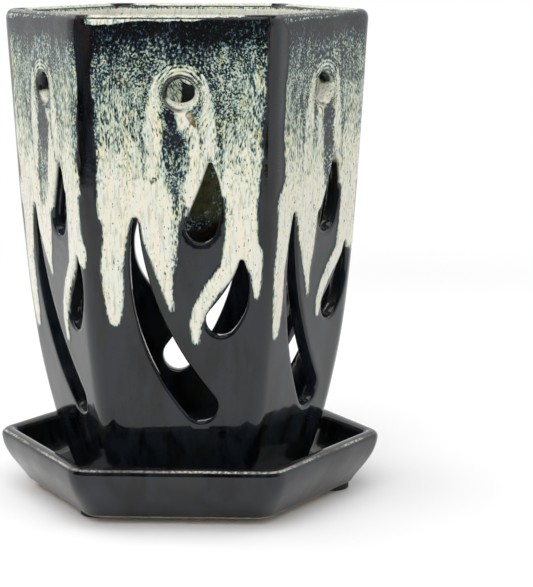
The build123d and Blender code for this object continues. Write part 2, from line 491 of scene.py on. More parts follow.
def hole_patch(outline):
    """Wall of the round hole. Cream ran through it and pooled in its lower half, which lifts the
    wall there. On the left, a thin line of painted shade, bare of cream, parts that pool from the cream
    outside."""
    patch = opening_patch(outline, HOLE_LIP, 5)
    way, z, depth, _ = patch["spot"].T
    middle = outline.mean(axis=0)
    up = (z - middle[1]) / HOLE["radius"]
    right = (way - middle[0]) / HOLE["radius"]
    pool = fading(up - POOL_TILT * right, *POOL_EDGE)
    # Painted shade: the line is bare black glaze on the left of the outer lip, where the lip shades
    # itself.
    line = window(depth, *LIP_SHADE_DEPTHS) * fading(right, *LIP_SHADE_FADES)
    patch["place"][:, 2] += POOL_RISE * window(depth, *POOL_DEPTHS) * np.clip(-up, 0, 1)
    patch["bare"] = np.maximum(patch["bare"] * (1 - pool), line)
    return patch


# %% Walls of the pot, outside and inside
FINE_ABOVE = 60.0
LOW_STEP, FINE_STEP, INNER_STEP, FIELD_STEP = 2.0, 1.4, 3.0, 0.85
OUTER_CLEAR, INNER_CLEAR = 0.7, 1.1
FIELD_BOX = ((-16.0, -34.0), (16.0, 14.0))
TRIANGLE_HEIGHT = 0.87
POT_COLUMNS = (pot_corner, POT["round_r"], 44, 5)


def heights_between(low, high, step):
    """Even heights from low to high, no further apart than the step."""
    return np.linspace(low, high, int(math.ceil((high - low) / step)) + 1)


def fine_field(low, high, step):
    """Triangular lattice of points in a box, for the part of the skin round the hole. Its rows are
    as far apart as an even triangle is high."""
    z = np.arange(low[1], high[1], step * TRIANGLE_HEIGHT)[:, None]
    x = np.arange(low[0], high[0], step)[None]
    shift = step / 2 * (np.arange(len(z)) % 2)[:, None]
    return np.stack(np.broadcast_arrays(x + shift, z), axis=-1).reshape(-1, 2)


rim_z = POT["base"] + POT["height"]
lip_z = rim_z - POT["lip"][1]
foot_z = POT["base"] + POT["foot_round"]
floor_z = POT["base"] + POT["floor"]
outer_heights = np.concatenate([heights_between(foot_z, FINE_ABOVE, LOW_STEP)[:-1],
                                heights_between(FINE_ABOVE, lip_z, FINE_STEP)])
inner_heights = heights_between(floor_z + POT["floor_round"], lip_z, INNER_STEP)
outer_rings = [outline + (HOLE_LIP[0] if name == "hole" else LIP_R) * outward_of(outline)
               for name, outline in openings.items()]
inner_rings = [outline + LIP_R * outward_of(outline) for outline in openings.values()]
hole_at = side_point(HOLE["centre"])
field = fine_field(*(hole_at + corner for corner in FIELD_BOX), FIELD_STEP)
outer_ways = way_columns(outer_heights, *POT_COLUMNS)
inner_ways = way_columns(inner_heights, *POT_COLUMNS)
outer_skin = skin_patch(outer_ways, outer_heights, outer_rings, 0.0, OUTER_CLEAR, field=field)
inner_skin = skin_patch(inner_ways, inner_heights, inner_rings, POT["wall"], INNER_CLEAR, skip=2)
makers = dict(hole=hole_patch, upper_drop=drop_patch)
opening_walls = [makers.get(name, opening_patch)(outline) for name, outline in openings.items()]
print("points a side: outer skin", len(outer_skin["place"]), "inner skin", len(inner_skin["place"]))

# %% [markdown]
# ## Rim, foot and floor
#
# Round the rim and under the foot the same ways are carried along a profile of height and depth.
# The floor and the underside blend from the six-sided ring to the round drain hole. Three shallow
# scallops cross the foot ring, so that water can run out from under the pot.


# %% Rim, foot ring, drain hole and floor
RECESS_RINGS, POT_FLOOR_RINGS = 8, 12


def quarter_round(start, end, centre, steps=4):
    """Points from start to end round a centre, as depth and height, with even turns."""
    first = math.atan2(start[1] - centre[1], start[0] - centre[0])
    last = math.atan2(end[1] - centre[1], end[0] - centre[0])
    sweep = (last - first + math.pi) % (2 * math.pi) - math.pi
    radius = math.hypot(start[0] - centre[0], start[1] - centre[1])
    turn = first + sweep * np.linspace(0, 1, steps + 1)
    return np.stack([centre[0] + radius * np.cos(turn), centre[1] + radius * np.sin(turn)], axis=-1)


def profile_patch(profile, corner, round_r, across, round_steps):
    """Grid of ways carried along a profile of depth and height, in the order given."""
    depth, z = profile[:, :1], profile[:, 1:]
    ways = way_columns(profile[:, 1], corner, round_r, across, round_steps)
    return wall_patch(ways, z, depth, grid_faces(*ways.shape), corner, round_r)


def rim_profile(shape, top, steps=5):
    """Outer and inner rounding of a rim, as depth and height: each is a quarter of an ellipse."""
    deep, high = shape["lip"]
    below, depth = quarter_ellipse(high, deep, steps)
    outer, inner = (np.stack([far, top - below], axis=-1) for far in (depth, shape["wall"] - depth))
    return np.concatenate([outer, inner[::-1]])


def side_arc(radius, z, count):
    """Points on the front side's sixth of a circle, or of several, at their heights."""
    angle = np.linspace(-HALF_TURN, HALF_TURN, count)
    return np.stack(np.broadcast_arrays(radius * np.sin(angle), -radius * np.cos(angle), z), axis=-1)


def blended(outer, rim_r, z, shares):
    """Rings from a six-sided ring of points to a circle of radius rim_r at height z. Each point
    moves straight from its place on the ring towards the circle by the shares."""
    circle = side_arc(rim_r, z, len(outer))
    return outer[None] + (circle - outer)[None] * np.asarray(shares)[:, None, None]


def free_patch(points):
    """Patch from a grid of points that isn't on the wall: rows of points, no push."""
    rows, columns = points.shape[:2]
    place = points.reshape(-1, 3)
    spot = np.zeros((len(place), 4))
    spot[:, 0], spot[:, 1], spot[:, 2] = place[:, 0], place[:, 2], POT["wall"]
    return dict(place=place, push=np.zeros_like(place), spot=spot, bare=np.ones(len(place)),
                faces=grid_faces(rows, columns))


def foot_and_floor():
    """Foot round, ring, recess, drain hole and floor of one side, from the outer skin's lowest
    row to the inner skin's lowest row."""
    base, foot, ring_w, ring_h = (POT[key] for key in ("base", "foot_round", "ring_w", "ring_h"))
    wall, fillet, drain_r, lip = (POT[key] for key in ("wall", "floor_round", "drain_r", "drain_lip"))
    low = np.concatenate([
        quarter_round((0, base + foot), (foot, base), (foot, base + foot)),
        [[ring_w - 1, base], [ring_w, base], [ring_w, base + ring_h]],
    ])
    under = profile_patch(low, *POT_COLUMNS)
    high = quarter_round((wall + fillet, floor_z), (wall, floor_z + fillet),
                         (wall + fillet, floor_z + fillet))
    corner_piece = profile_patch(high, *POT_COLUMNS)
    recess_edge = under["place"].reshape(len(low), -1, 3)[-1]
    floor_edge = corner_piece["place"].reshape(len(high), -1, 3)[0]
    ceiling = blended(recess_edge, drain_r + lip, base + ring_h, np.linspace(0, 1, RECESS_RINGS))
    floor = blended(floor_edge, drain_r + lip, floor_z, np.linspace(1, 0, POT_FLOOR_RINGS))
    edge_low = quarter_round((drain_r + lip, base + ring_h), (drain_r, base + ring_h + lip),
                             (drain_r + lip, base + ring_h + lip), 3)
    edge_high = quarter_round((drain_r, floor_z - lip), (drain_r + lip, floor_z),
                              (drain_r + lip, floor_z - lip), 3)
    drain = np.concatenate([edge_low, edge_high])
    hole = side_arc(drain[:, :1], drain[:, 1:], len(recess_edge))
    pieces = [under, free_patch(ceiling), free_patch(hole), free_patch(floor), corner_piece]
    for piece in pieces:
        piece["faces"] = piece["faces"][:, ::-1]
    return pieces


def scalloped(patch):
    """The patch with its lowest points lifted over a scallop across the foot ring: an arc of a
    cylinder that lies along the radius."""
    width, height = POT["scallop_w"], POT["scallop_h"]
    arc_r = (width**2 / 4 + height**2) / (2 * height)
    place = patch["place"].copy()
    rise = np.sqrt(np.maximum(arc_r**2 - place[:, 0] ** 2, 0)) - (arc_r - height)
    ring = place[:, 1] < -POT["ring_w"]
    place[ring, 2] = np.maximum(place[ring, 2], POT["base"] + rise[ring])
    return dict(patch, place=place)


rim = profile_patch(rim_profile(POT, rim_z), *POT_COLUMNS)
floor_pieces = foot_and_floor()
floor_points = sum(len(patch["place"]) for patch in floor_pieces)
print("rim", len(rim["place"]), "points, foot and floor", floor_points, "points a side")

# %% [markdown]
# ## How the cream glaze ran
#
# The cream glaze was poured over the upper part of the pot. On each side it is a sheet that stops
# short of the corners, where the glaze pulls thin, and from its lower edge fingers run down
# between the openings. A finger is a chain of circles along its path, each with its own half
# width, and its edge is the distance to that chain. Each side has the same fingers, because the
# same openings part the flow, but they end at different heights.


# %% Fingers and sheet
SHEET_EDGES = np.array([[90.0, -27.8, 31.0], [112.0, -28.2, 31.3], [126.0, -29.0, 32.0],
                        [139.0, -30.2, 32.8], [151.0, -31.0, 33.6], [168.0, -31.0, 35.4],
                        [189.0, -30.9, 35.6], [191.5, -34.0, 36.5], [200.0, -34.5, 36.5]])
LEFT_MARGINS = (0.0, 4.4, 1.4, 0.6, 2.6, 1.0)
SHEET_BOTTOM = 119.5
RIGHT_BOTTOM_RISE, RIGHT_BOTTOM_FROM = 8.0, (9, 16)
EDGE_WAVES = ((0.35, 7.3, 1.9), (0.25, 3.1, 0.7))
FINGERS = {
    "left_of_slot": [(-22.6, 124, 6.6), (-22.4, 118, 5.6), (-23.1, 111, 4.8), (-24.4, 100, 4.5),
                     (-23.9, 92, 4.2), (-23.6, 84.5, 3.3), (-23.6, 81, 2.3)],
    "beside_slot": [(-5.8, 124, 8.6), (-6.0, 117, 7.8), (-5.5, 111.4, 7.1), (-4.4, 103, 5.3),
                    (-4.2, 98, 3.9), (-3.5, 92, 2.5), (-2.5, 87.5, 1.7), (-1.9, 84, 1.2)],
    "past_upper_drop": [(24.7, 124, 6.4), (24.5, 111.5, 6.5), (23.6, 106, 6.4), (19.5, 99.8, 3.8),
                        (13.3, 92.6, 3.4), (8.9, 85, 3.1), (7.1, 79.4, 2.7), (7.0, 73, 1.8)],
    "beside_lower_drop": [(30.0, 106, 2.9), (30.2, 98, 2.4), (30.2, 92.4, 1.9), (30.2, 89.8, 1.3)],
}
FINGER_TIPS = {
    "left_of_slot": (79.5, 73.0, 84.0, 77.0, 88.0, 70.0),
    "beside_slot": (84.0, 86.0, 76.0, 88.5, 81.0, 93.0),
    "past_upper_drop": (72.0, 77.0, 80.0, 70.0, 76.0, 68.5),
    "beside_lower_drop": (89.4, 100.2, 94.0, 86.0, 98.0, 100.2),
}
FINGER_WIDTHS = (1.0, 0.92, 1.08, 0.95, 1.05, 0.88)
FINGER_HELD_ABOVE = 104.0
FINGER_JOIN = 4.0


def wavy(value, side, *waves):
    """Sum of sine waves along a value. Each has a height, a length and a turn from side to side."""
    return sum(height * np.sin(value / length + turn * side) for height, length, turn in waves)


def smaller(a, b, blend):
    """Smooth minimum of two distances: their minimum, less a rounding that is largest where they
    are equal, over a width of blend."""
    close = np.maximum(blend - np.abs(a - b), 0) / blend
    return np.minimum(a, b) - close * close * blend / 4


def chain_reach(path, across, z):
    """How far each spot lies inside a chain of circles (across, height, radius): the radius at the
    nearest point of the chain, less the distance to it."""
    spots = np.stack([across, z], axis=-1)
    reach = np.full(len(across), -1e3)
    for (x1, z1, r1), (x2, z2, r2) in zip(path[:-1], path[1:]):
        start, step = np.array([x1, z1]), np.array([x2 - x1, z2 - z1])
        share = np.clip((spots - start) @ step / (step @ step), 0, 1)
        away = np.hypot(*(spots - start - share[:, None] * step).T)
        reach = np.maximum(reach, r1 + (r2 - r1) * share - away)
    return reach


def drawn_finger(path, tip_z, width):
    """The finger's chain drawn out or held back: below a held height it is stretched to end at
    tip_z, and its radii are scaled by width."""
    path = np.array(path, float)
    stretch = (FINGER_HELD_ABOVE - tip_z) / (FINGER_HELD_ABOVE - path[-1, 1])
    low = path[:, 1] < FINGER_HELD_ABOVE
    path[low, 1] = FINGER_HELD_ABOVE - (FINGER_HELD_ABOVE - path[low, 1]) * stretch
    path[low, 2] *= width
    return path


def drip_reach(side, across, z):
    """How far each spot of a side lies inside the cream glaze, in millimetres, and below zero
    outside it: the sheet and its fingers, joined smoothly."""
    left, right = (np.interp(z, SHEET_EDGES[:, 0], SHEET_EDGES[:, column]) for column in (1, 2))
    left = left + LEFT_MARGINS[side]
    wander = wavy(z, side, *EDGE_WAVES)
    reach = np.minimum(across - left - wander, right + wander - across)
    rise = RIGHT_BOTTOM_RISE * smoothstep(across, *RIGHT_BOTTOM_FROM)
    reach = np.minimum(reach, z - SHEET_BOTTOM - rise)
    for name, path in FINGERS.items():
        path = drawn_finger(path, FINGER_TIPS[name][side], FINGER_WIDTHS[side])
        reach = -smaller(-reach, -chain_reach(path, across, z), FINGER_JOIN)
    return reach


# %% [markdown]
# ## How thick the cream lies, and which way it flowed
#
# Near the rim the cream is thin, and the dark glaze shows through it as a field of grains. It
# gets denser down the side until it is a whole cream. The round hole parts the flow as a post
# parts water: a smooth ribbon runs down each side of it, arcs lie over it, and below it the flow
# is starved, so a dark streak hangs there, with a curl of cream that came through the hole. The
# cover is one number for each point: 0 is bare, 1 is whole, and above 1 the cream lies so thick
# that little shows through. The ribbons, streaks, curls and the stain are chains given from the
# middle of the round hole.


# %% Cover
COVER_BY_HEIGHT = np.array([[100, 1.14], [114, 1.10], [125, 1.03], [131, 0.99], [137, 0.94],
                            [143, 0.83], [149, 0.72], [155, 0.62], [162, 0.57], [168, 0.55],
                            [174, 0.46], [179, 0.42], [182, 0.37], [185, 0.25], [187, 0.12],
                            [189, 0.0]])
SIDE_LIFTS = (0.0, 0.0, 0.02, -0.02, 0.03, 0.06)
PATCHES = ((-27.5, 178, 2.5, 3.5, 0.10), (-22.5, 176, 3.5, 5.0, -0.12), (-24.0, 164, 6.5, 7.0, 0.08),
           (-12.5, 174, 3.0, 8.0, -0.13), (8.0, 181, 4.0, 3.5, -0.10), (20.5, 160, 7.0, 9.0, -0.09),
           (30.5, 167, 3.0, 10.0, 0.14), (33.8, 148, 1.8, 15.0, -0.30), (-15.0, 150, 2.0, 7.0, -0.08),
           (16.0, 147, 2.0, 8.0, -0.08), (22.0, 141, 5.0, 10.0, -0.10), (27.0, 186, 8.0, 4.0, -0.10),
           (33.0, 128, 2.0, 11.0, -0.38), (-30.6, 140, 1.6, 18.0, -0.34), (29.0, 134, 1.6, 9.0, -0.12),
           (17.5, 138, 1.4, 8.0, -0.10))
PATCH_MOVES = ((1, 0.0, 0.0), (-1, 3.0, -2.0), (1, -5.0, 2.0), (-1, -2.0, 1.0), (1, 6.0, -2.5),
               (-1, 1.0, 3.0))
COVER_ENDS, LIFT_FADES, PATCH_FADES = 190, (0, 6), (0, 4)
COVER_WAVE = (1.6, 6.1, 2.0)
RIBBONS = (
    [(-8.9, 6.4, 0.8), (-9.6, 0, 1.7), (-10.2, -7, 2.6), (-10.3, -14, 3.2), (-10.6, -22, 2.8),
     (-11, -30, 1.8)],
    [(8.6, 6.4, 0.8), (9.8, 0, 1.7), (10.2, -7, 2.3), (10.4, -14, 2.8), (11.5, -22, 2.3),
     (12.5, -30, 1.8)],
)
STREAKS = (
    [(-4.0, -7.5, 2.0), (-4.0, -13, 2.0), (-2.2, -18.5, 3.9), (-1.5, -25, 5.0), (-2.2, -31, 4.4),
     (-1.6, -38, 2.6), (0.0, -46, 3.4), (-0.8, -56, 3.0), (-2.4, -66, 2.4), (-3.6, -75, 1.6)],
    [(2.8, -5.0, 3.4), (3.2, -12, 3.6), (4.4, -20, 3.9), (5.2, -30, 3.9), (5.4, -37, 2.4)],
    [(0.4, -7, 4.4), (-1.4, -16, 4.0), (-2.4, -26, 2.6), (-1.8, -36, 1.4)],
    [(1.0, -7, 3.0), (0.0, -20, 4.2), (-0.8, -30, 3.0), (-0.2, -38, 1.5)],
    [(-2.0, -6, 3.6), (-0.4, -15, 3.2), (1.6, -23, 3.6), (1.0, -32, 1.8)],
    [(0.0, -5, 5.0), (-1.0, -12, 5.6), (-3.6, -25, 5.6), (-6.4, -38, 5.4), (-7.0, -44, 4.0)],
)
CURLS = (
    [(1.2, -8.8, 2.7), (2.0, -11.6, 2.5), (4.5, -14.6, 1.9), (5.9, -18.5, 1.4), (6.8, -23, 1.1),
     (7.4, -28, 0.8)],
    [(-3.0, -9.0, 1.0), (-3.4, -13, 0.8)],
    [(2.6, -9.0, 2.2), (4.4, -14, 1.5), (5.2, -20, 0.8)],
    [(-2.8, -9.0, 2.6), (-4.4, -14, 1.8), (-5.4, -20, 0.9)],
    [(2.4, -8.8, 1.6), (3.6, -12, 0.9)],
    [(3.0, -8.6, 1.4), (4.4, -12, 0.9)],
)
STREAK_COVERS = np.array([[18, 0.16], [26, 0.42], [36, 0.52], [46, 0.70], [75, 0.74]])
RING_R, RING_W, RING_FADES, RING_COVER = 8.9, 1.5, (-2.0, 3.0), 0.74
RIBBON_EDGE, RIBBON_ENDS, RIBBON_COVER = (-0.7, 1.4), (24, 34), 0.90
SHADE_AWAY, SHADE_W, SHADE_SHARE, SHADE_COVER = 1.1, 0.7, 0.5, 0.25
STREAK_EDGE, STREAK_ENDS = (-0.7, 1.2), (66, 80)
CURL_EDGE, CURL_COVER = (-0.5, 0.9), 0.93
STAIN = [(3.3, -8.0, 1.5), (4.2, -9.8, 1.2), (5.3, -12.2, 0.6)]
STAIN_EDGE, STAINED_SIDES = (-0.4, 1.1), (0, 3)
ARC_FADES = ((-1.0, 4.0), (10.0, 12.5))
INNER_COVERS = np.array([[100, 0.30], [124, 0.38], [140, 0.52], [165, 0.72], [183, 0.95], [188, 1.15],
                         [196, 1.25]])
INNER_END, INNER_WAVES = 98, ((3.0, 5.0, 1.0), (1.5, 1.9, 0.0))
UNDER_HOLE = [(1.0, hole_at[1] - 4, 5.0), (1.0, 112, 6.0)]


def cream_cover(side, across, z):
    """Share of the surface that the cream hides, how much of an olive stain lies there, the
    distance from the round hole, and how strong the arcs over it are. The cover grows from the rim
    down, in soft patches. Then a ring, ribbons, streak and curl are laid in turn over what is
    there, each with its own cover and a soft edge."""
    cover = np.interp(z + wavy(across, side, COVER_WAVE), *COVER_BY_HEIGHT.T)
    flip, move_x, move_z = PATCH_MOVES[side]
    cover = cover + SIDE_LIFTS[side] * smoothstep(COVER_ENDS - z, *LIFT_FADES)
    for x, patch_z, wide, high, change in PATCHES:
        away = np.hypot((across - flip * x - move_x) / wide, (z - patch_z - move_z) / high)
        cover = cover + change * np.exp(-away**2) * smoothstep(COVER_ENDS - z, *PATCH_FADES)
    x, up = across - hole_at[0], z - hole_at[1]
    away = np.hypot(x, up)
    ring = np.exp(-(((away - RING_R) / RING_W) ** 2)) * smoothstep(up, *RING_FADES)
    laid = [(ring, RING_COVER)]
    for path in RIBBONS:
        reach = chain_reach(path, x, up)
        shade = np.exp(-(((reach + SHADE_AWAY) / SHADE_W) ** 2)) * SHADE_SHARE
        ribbon = smoothstep(reach, *RIBBON_EDGE) * fading(-up, *RIBBON_ENDS)
        laid += [(shade, SHADE_COVER), (ribbon, RIBBON_COVER)]
    streak = smoothstep(chain_reach(STREAKS[side], x, up), *STREAK_EDGE)
    streak = streak * fading(-up, *STREAK_ENDS)
    curl = smoothstep(chain_reach(CURLS[side], x, up), *CURL_EDGE)
    laid += [(streak, np.interp(-up, *STREAK_COVERS.T)), (curl, CURL_COVER)]
    for share, target in laid:
        cover = towards(cover, target, share)
    stain = smoothstep(chain_reach(STAIN, x, up), *STAIN_EDGE) * (side in STAINED_SIDES)
    arcs = smoothstep(up, *ARC_FADES[0]) * fading(away, *ARC_FADES[1])
    return np.maximum(cover, 0), stain, away, arcs


def inner_cover(side, across, z):
    """Reach and cover of the cream on the inside of the wall: it was poured out again, so it lies
    thin, ends in a ragged line, and is missing under each round hole."""
    reach = z - INNER_END - wavy(across, side, *INNER_WAVES)
    reach = np.minimum(reach, -chain_reach(UNDER_HOLE, across, z))
    return reach, np.interp(z, *INNER_COVERS.T)


MOST_SHIFT = 2.0
SHIFT_FADES = (22.0, 30.0)


def flow_shift(across, z):
    """Move of each spot to its place in a straight flow: round a post of radius a at distance r,
    the stream line's number is the way across times one less a squared over r squared. On the
    lip, inside the post, the same rule goes on to twice, so the lines still follow the ring."""
    x, up = across - hole_at[0], z - hole_at[1]
    post = HOLE["radius"] + HOLE_LIP[0]
    share = np.minimum(post**2 / np.maximum(x**2 + up**2, SAME_SPOT), MOST_SHIFT)
    share *= fading(np.hypot(x, up), *SHIFT_FADES)
    return -x * share, up * share


# %% [markdown]
# ## Relief
#
# The cream lies on the black glaze like a thick skin with a rounded edge, so it stands out by
# about a third of a millimetre. The cast wall itself is never quite flat: slow waves, up to a
# sixth of a millimetre high on the pot and a third on the saucer, make the reflections on the
# black glaze wander as they do in the photograph.


# %% Relief of the glaze
WAVE_DIRECTIONS = np.array([[0.93, 0.31, 0.18], [-0.42, 0.81, 0.40], [0.22, -0.64, 0.73],
                            [0.71, 0.52, -0.47], [-0.31, -0.22, 0.92]])
WAVE_LENGTHS = np.array([1.0, 0.74, 1.31, 0.58, 0.87])
WAVE_PHASES = np.array([0.3, 1.7, 2.9, 4.1, 5.3])
WAVE_HEIGHTS = np.array([0.3, 0.22, 0.2, 0.12, 0.16])
POT_WAVES, SAUCER_WAVES = (0.16, 34.0), (0.3, 26.0)
DEPTH_FADES, SAUCER_DEPTH_FADES = (0.1, 2.2), (0.1, 3.0)
POT_FOOT_FADES, SAUCER_FOOT_FADES = (2, 12), (2, 10)
SEAM_FADES, RIM_FADES = (0.05, 1.6), (1.0, 12.0)
CREAM_HEIGHT, CREAM_EDGE, CREAM_BY_COVER = 0.34, (-0.4, 1.6), (0.3, 0.95)
THIN_CREAM = 0.2
REACH_LIMITS = (-4.0, 6.0)
INSIDE_DEPTHS = (5.2, 5.9)
POOL_R, POOL_COVER = 7.7, 0.97
POOL_FADES, POOL_FROM_DEPTH, POOL_TOP = (0, 0.6), (0.02, 0.25), (-1.3, 0.8)
STAIN_LEVEL, INSIDE_GREEN = 1.5, 0.6
GREEN_HEIGHTS = ((98, 106), (135, 165))
LIP_COVERS = (0.90, 0.36, 0.90, 1.10, 0.85, 0.42)
LIP_MIDDLE, LIP_FADES = -2.5, (27, 33)
LIP_EDGE_UP, LIP_EDGE_RIGHT, LIP_EDGE_LEFT = 1.5, (1.5, 4, 20), (1.2, 14, 26)


def slow_waves(place, height, length):
    """Sum of five sine waves in set directions, each with its own length and phase, over the
    points' places: smooth everywhere, also across the corners."""
    turns = place @ WAVE_DIRECTIONS.T * (2 * math.pi / (length * WAVE_LENGTHS))
    return np.sin(turns + WAVE_PHASES) @ (height * WAVE_HEIGHTS)


def relief_share(patch, base, depths, heights):
    """Where relief lies: 1 on the outer wall, and 0 deep in an opening, off the wall and at the
    foot, with S curves between."""
    z, depth = patch["spot"][:, 1], patch["spot"][:, 2]
    on_wall = np.linalg.norm(patch["push"], axis=1) > 0.5
    return fading(depth, *depths) * on_wall * smoothstep(z - base, *heights)


def side_glaze(side, way, z, depth):
    """Values of the glaze on one side, by name. Past the depth where the inside begins they turn
    into those of the inside, and in the lower half of the round hole the cream is a pool. The
    edge of the cream on the rim is higher at the right and lower at the left."""
    inside = smoothstep(depth, *INSIDE_DEPTHS)
    cover, stain, away, arcs = cream_cover(side, way, z)
    inner_reach, inner = inner_cover(side, way, z)
    outer_reach = np.clip(drip_reach(side, way, z), *REACH_LIMITS)
    low = fading(z - hole_at[1] - POOL_TILT * (way - hole_at[0]), *POOL_TOP)
    pool = smoothstep(POOL_R - away, *POOL_FADES) * smoothstep(depth, *POOL_FROM_DEPTH) * low
    level = LIP_COVERS[side] * fading(np.abs(way - LIP_MIDDLE), *LIP_FADES)
    (rise, *right), (fall, *left) = LIP_EDGE_RIGHT, LIP_EDGE_LEFT
    edge = lip_z + LIP_EDGE_UP + rise * smoothstep(way, *right) - fall * smoothstep(-way, *left)
    return {
        "drip": towards(outer_reach, np.clip(inner_reach, *REACH_LIMITS), inside),
        "cover": towards(towards(cover, POOL_COVER, pool), inner, inside),
        "stain": towards(STAIN_LEVEL * stain, INSIDE_GREEN * window(z, *GREEN_HEIGHTS), inside),
        "away": away,
        "arcs": arcs * (1 - inside),
        "lip": level * (1 - inside),
        "lip_edge": edge,
    }


def glazed(patch):
    """The pot's patch with its glaze: the values that the finish reads, and its points pushed out
    by the cream's thickness and the slow waves, which fade out in the depth of the openings. At
    the seams between the sides the cream has no height, so that both sides meet."""
    way, z, depth, side = patch["spot"].T
    by_side = [side_glaze(number, way, z, depth) for number in range(SIDES)]
    for name in by_side[0]:
        patch[name] = np.choose(side.astype(int), [values[name] for values in by_side])
    skin = relief_share(patch, POT["base"], DEPTH_FADES, POT_FOOT_FADES)
    seam = smoothstep(np.interp(z, outer_heights, outer_ways[:, -1]) - np.abs(way), *SEAM_FADES)
    thick = THIN_CREAM + (1 - THIN_CREAM) * smoothstep(patch["cover"], *CREAM_BY_COVER)
    thick = thick * smoothstep(patch["drip"], *CREAM_EDGE) * smoothstep(rim_z - z, *RIM_FADES)
    push = (CREAM_HEIGHT * seam * thick + slow_waves(patch["place"], *POT_WAVES)) * skin
    patch["place"] = patch["place"] + patch["push"] * push[:, None]
    angle = side * 2 * HALF_TURN
    sideways, upward = flow_shift(way, z)
    patch["shift"] = np.stack([np.cos(angle) * sideways, np.sin(angle) * sideways, upward], axis=-1)
    return patch


# %% Assemble the pot
def whole_pot():
    """The pot from its patches: each side's skins, openings, rim, foot and floor, turned to the
    six sides, glazed, and welded where the patches meet."""
    patches = []
    for side in range(SIDES):
        for patch in (outer_skin, inner_skin, *opening_walls, rim, *floor_pieces):
            patches.append(turned(patch if side % 2 else scalloped(patch), side))
    return welded(glazed(joined(patches)))


pot_patch = whole_pot()
pot_piece = make_piece("glazed_pot", pot_patch)
print("pot from", pot_patch["place"].min(0).round(1), "to", pot_patch["place"].max(0).round(1))

# %% [markdown]
# ## The saucer
#
# The saucer is the same idea with a shallow, flaring wall: one profile of depth and height goes
# up the outside, over the rim, down the inside and across the floor, and another crosses the
# underside. It has no openings, so the whole of it is a grid.


# %% Saucer
SAUCER_COLUMNS = (saucer_corner, SAUCER["round_r"], 22, 6)
SAUCER_UP_STEP, SAUCER_DOWN_STEP = 1.0, 1.2
UNDER_RINGS, FLOOR_RINGS = 10, 14
HIGHLIGHT_EDGE_DEPTHS = (1.2, 2.4)
FILLET_STOPS = (0.6, 0.12)


def saucer_wall():
    """Foot round, outer wall, rim, inner wall and floor round of one side, as one grid, and how
    many rows it has. The wall keeps its depth, so the inside follows the outside. The floor round
    stops a little before it is level."""
    base, top = SAUCER["base"], SAUCER["base"] + SAUCER["height"]
    foot, wall, lip = SAUCER["foot_round"], SAUCER["wall"], SAUCER["lip"][1]
    floor, fillet = base + SAUCER["floor"], SAUCER["floor_round"]
    fillet_end = (wall + fillet - FILLET_STOPS[0], floor + FILLET_STOPS[1])
    up = heights_between(base + foot, top - lip, SAUCER_UP_STEP)[1:-1]
    down = heights_between(floor + fillet, top - lip, SAUCER_DOWN_STEP)[1:-1][::-1]
    profile = np.concatenate([
        quarter_round((foot, base), (0, base + foot), (foot, base + foot)),
        np.stack([np.zeros(len(up)), up], axis=-1),
        rim_profile(SAUCER, top),
        np.stack([np.full(len(down), wall), down], axis=-1),
        quarter_round((wall, floor + fillet), fillet_end, (wall + fillet, floor + fillet)),
    ])
    return profile_patch(profile, *SAUCER_COLUMNS), len(profile)


def level_disc(ring, z, steps):
    """Rings from a six-sided ring of points to the middle at height z, evenly spaced."""
    centre = np.array([0.0, 0.0, z])
    shares = np.linspace(0, 1, steps + 1)[:, None, None]
    rings = ring[None] + (centre - ring)[None] * shares
    rings[1:, :, 2] = z
    return free_patch(rings)


def whole_saucer():
    """The saucer from its six sides, welded, with a slight unevenness of the cast wall. Its edge
    value is 1 on the outer half of the rim, where the painted highlight runs."""
    wall, rows = saucer_wall()
    rings = wall["place"].reshape(rows, -1, 3)
    under = level_disc(rings[0], SAUCER["base"], UNDER_RINGS)
    under["faces"] = under["faces"][:, ::-1]
    floor = level_disc(rings[-1], SAUCER["base"] + SAUCER["floor"], FLOOR_RINGS)
    saucer = joined([turned(patch, side) for side in range(SIDES) for patch in (wall, under, floor)])
    skin = relief_share(saucer, SAUCER["base"], SAUCER_DEPTH_FADES, SAUCER_FOOT_FADES)
    push = slow_waves(saucer["place"], *SAUCER_WAVES) * skin
    saucer["place"] = saucer["place"] + saucer["push"] * push[:, None]
    del saucer["bare"]
    # Painted highlight: the edge value marks the outer half of the rim, where a pale line is painted
    # for the lamps' glint.
    saucer["edge"] = fading(saucer["spot"][:, 2], *HIGHLIGHT_EDGE_DEPTHS)
    return welded(saucer)


saucer_patch = whole_saucer()
saucer_piece = make_piece("glazed_saucer", saucer_patch)

# %% [markdown]
# ## Building finishes
#
# A finish is a network of nodes. A small class holds the network that is being built, and each of
# its methods adds a node and gives back its output. A finish then reads like a recipe: take the
# place on the piece, make a noise from it, turn the noise into a mask, and mix two colours by the
# mask.


